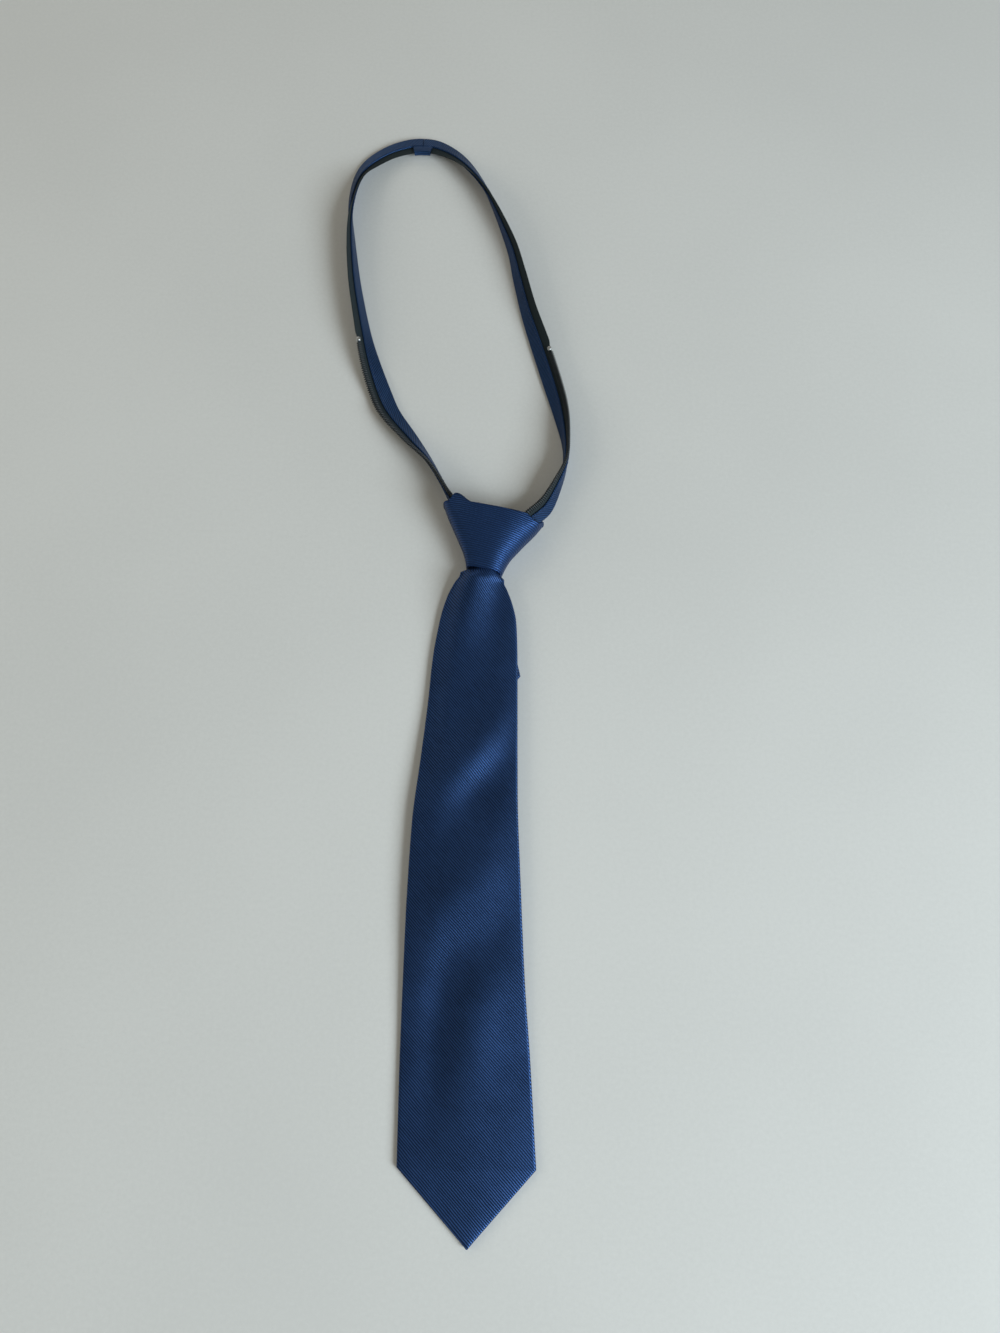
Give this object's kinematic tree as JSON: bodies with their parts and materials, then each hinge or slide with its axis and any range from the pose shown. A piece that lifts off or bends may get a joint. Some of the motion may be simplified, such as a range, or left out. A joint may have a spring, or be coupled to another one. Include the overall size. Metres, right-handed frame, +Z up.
{
  "type": "pre-tied zip necktie",
  "caption": "Pre-tied necktie lying face up: a pointed satin blade, a wide hollow knot, a short pull tail and a neck loop that closes with a zip.",
  "frame": {"origin": "on the table, under the middle of the tie's outline", "axes": "+Y from the tip of the blade to the neck loop, +Z up out of the tie's front"},
  "size_m": [0.1292, 0.5872, 0.02],
  "materials": {
    "satin": "ribbed satin",
    "tape_cloth": "matt woven tape",
    "coil_plastic": "fine nylon coil",
    "stop_metal": "bright",
    "slider_metal": "satin"
  },
  "bodies": {
    "root": {"blade": "satin", "pull_tail": "satin", "knot": "satin", "neckband_cover_right": "satin", "zip_tape_right": "tape_cloth", "zip_coil_right": "coil_plastic", "zip_stop_right": "stop_metal", "neckband_cover_left": "satin", "zip_tape_left": "tape_cloth", "zip_coil_left": "coil_plastic", "zip_stop_left": "stop_metal", "keeper_loop": "satin", "zip_slider": "slider_metal"}
  },
  "joints": []
}
